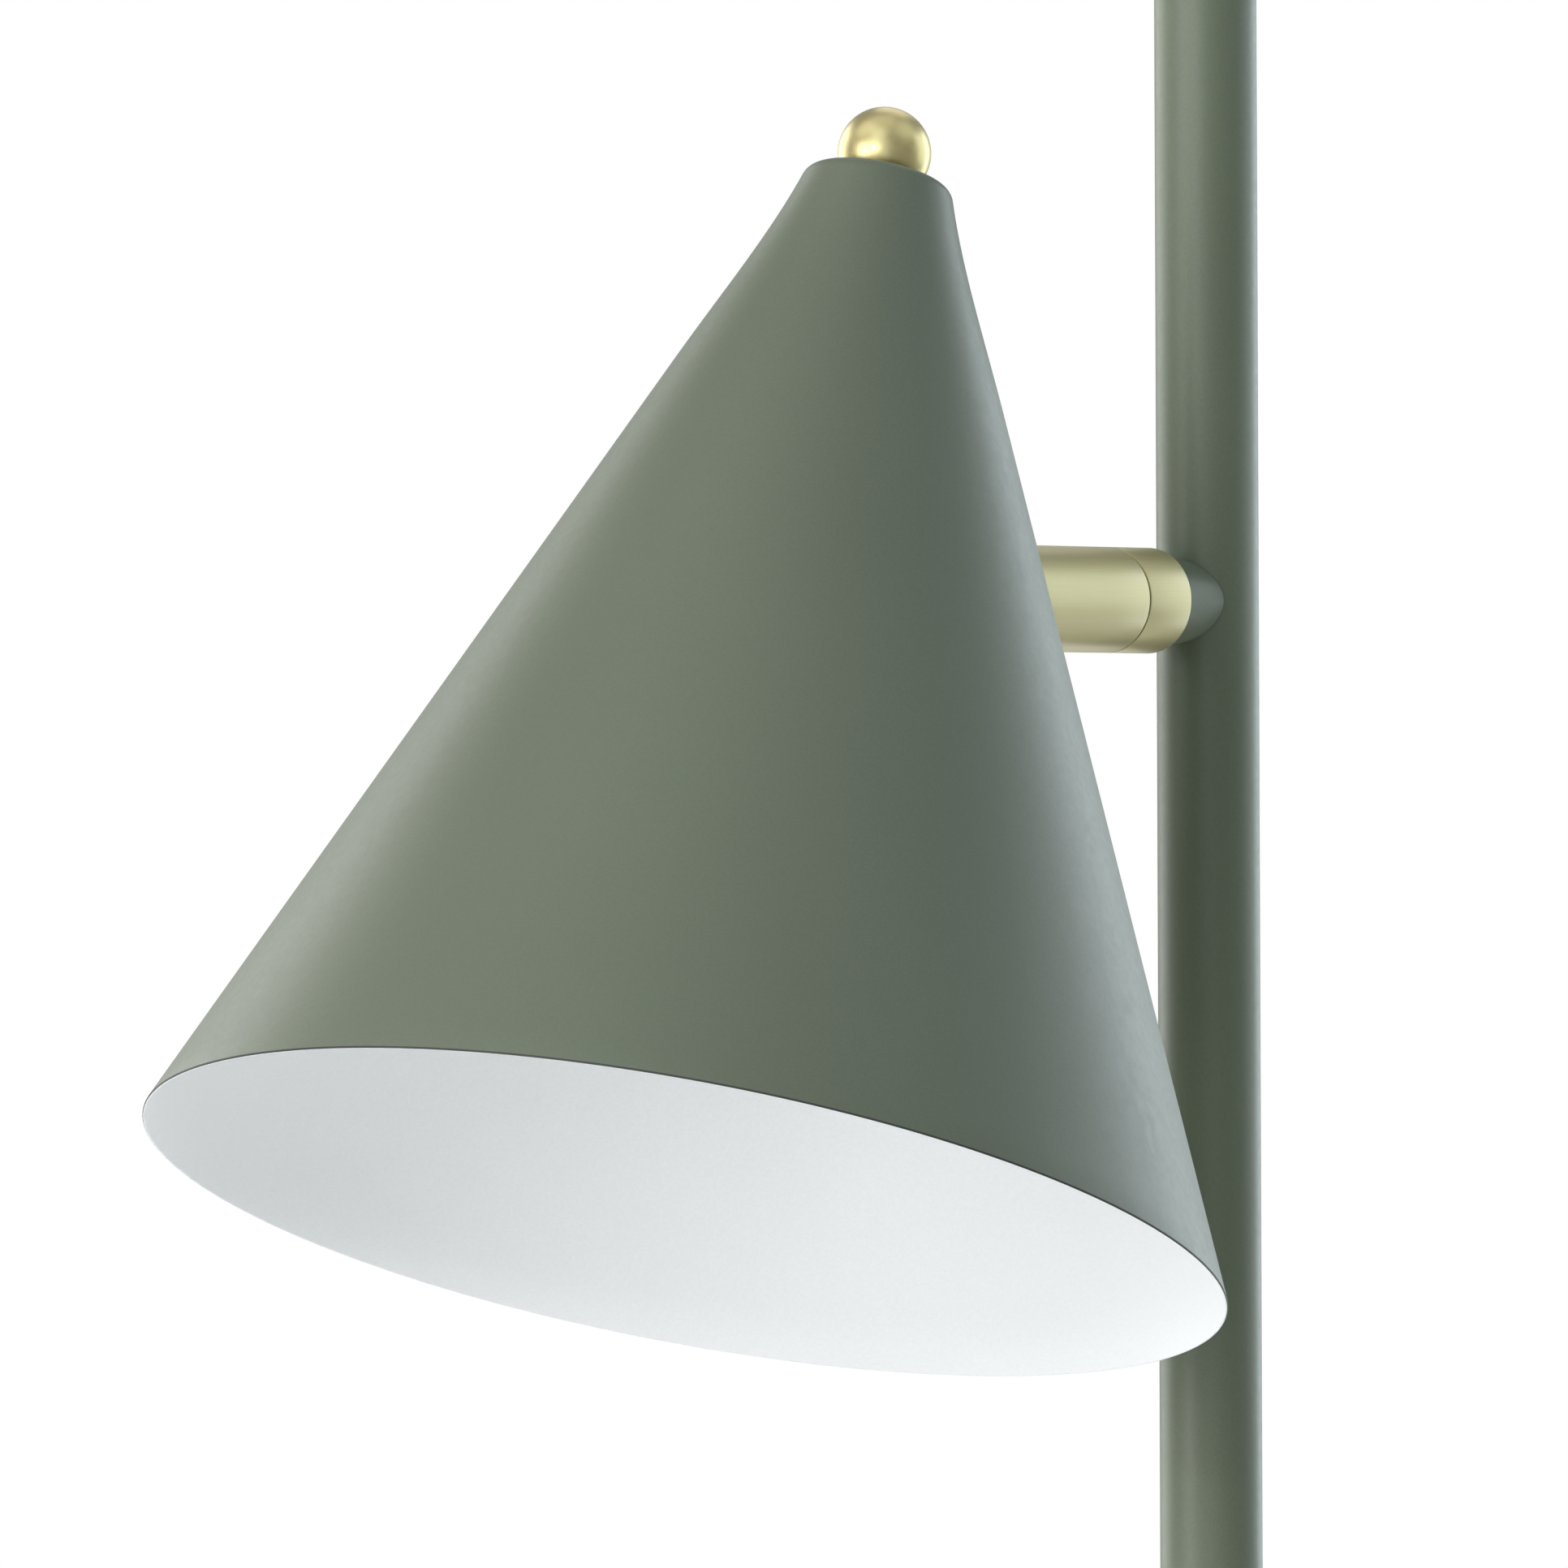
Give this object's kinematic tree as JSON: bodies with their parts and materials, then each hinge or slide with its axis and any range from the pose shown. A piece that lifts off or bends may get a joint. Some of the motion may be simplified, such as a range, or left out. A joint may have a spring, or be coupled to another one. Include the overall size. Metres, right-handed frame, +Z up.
{
  "type": "adjustable arm floor lamp",
  "caption": "Floor lamp: round weighted base, tall slim pole and a short brass arm on which a cone-shaped metal shade swivels; ball finials on shade and pole.",
  "frame": {"origin": "centre of the round base's underside, on the floor, under the pole's axis", "axes": "+Z up along the pole; the arm and the shade point to -Y, the front; the cord inlet faces +Y, the back; +X is the lamp's left as it faces the viewer"},
  "size_m": [0.28, 0.4836, 1.5],
  "materials": {
    "sage_paint": "matte sage green powder coat; the inside of the shade is matte white",
    "satin_brass": "satin, finely brushed round the arm",
    "cast_iron": "rough cast, hidden in the base",
    "zinc_steel": "zinc plated",
    "black_pad": "matte foam pad",
    "black_plastic": "moulded",
    "white_plastic": "moulded",
    "nylon": "natural nylon",
    "porcelain": "glazed porcelain",
    "nickel": "nickel plated thin sheet",
    "opal_glass": "opal white, opaque when unlit",
    "lead_sheath": "smooth sheath"
  },
  "bodies": {
    "root": {"base_pad": "black_pad", "base_weight": "cast_iron", "base_cover": "sage_paint", "foot_nipple": "zinc_steel", "foot_washer": "zinc_steel", "foot_nut": "zinc_steel", "terminal_block": "white_plastic", "cord_gland": "black_plastic", "gland_nut": "black_plastic", "pole_foot_insert": "zinc_steel", "pole_lower": "sage_paint", "pole_coupler": "zinc_steel", "pole_upper": "sage_paint", "pole_top_plug": "sage_paint", "pole_finial": "satin_brass", "pole_lead": "lead_sheath", "arm_stub": "sage_paint", "stub_insert": "zinc_steel", "swivel_ring": "satin_brass", "swivel_nipple": "zinc_steel", "stop_pin_fixed": "zinc_steel", "friction_washer": "nylon", "wave_washer": "zinc_steel", "swivel_nut": "zinc_steel", "swivel_lock_nut": "zinc_steel"},
    "shade_head": {"swivel_sleeve": "satin_brass", "stop_pin_moving": "zinc_steel", "sleeve_plug": "zinc_steel", "shade_nipple": "zinc_steel", "saddle_washer": "zinc_steel", "shade_nut": "zinc_steel", "lead_bush": "black_plastic", "shade": "sage_paint", "shade_finial": "satin_brass", "holder_nipple": "zinc_steel", "holder_washer": "zinc_steel", "holder_nut": "zinc_steel", "holder_cap": "white_plastic", "holder_body": "white_plastic", "holder_insert": "porcelain", "holder_screw_shell": "nickel", "holder_contact": "nickel", "bulb_base": "nickel", "bulb_globe": "opal_glass", "head_lead": "lead_sheath"}
  },
  "joints": [
    {"name": "shade_swivel", "type": "hinge", "parent": "root", "child": "shade_head", "pos_m": [0, -0.0426, 1.25], "axis": [0, -1, 0], "range_deg": [-165, 165]}
  ]
}
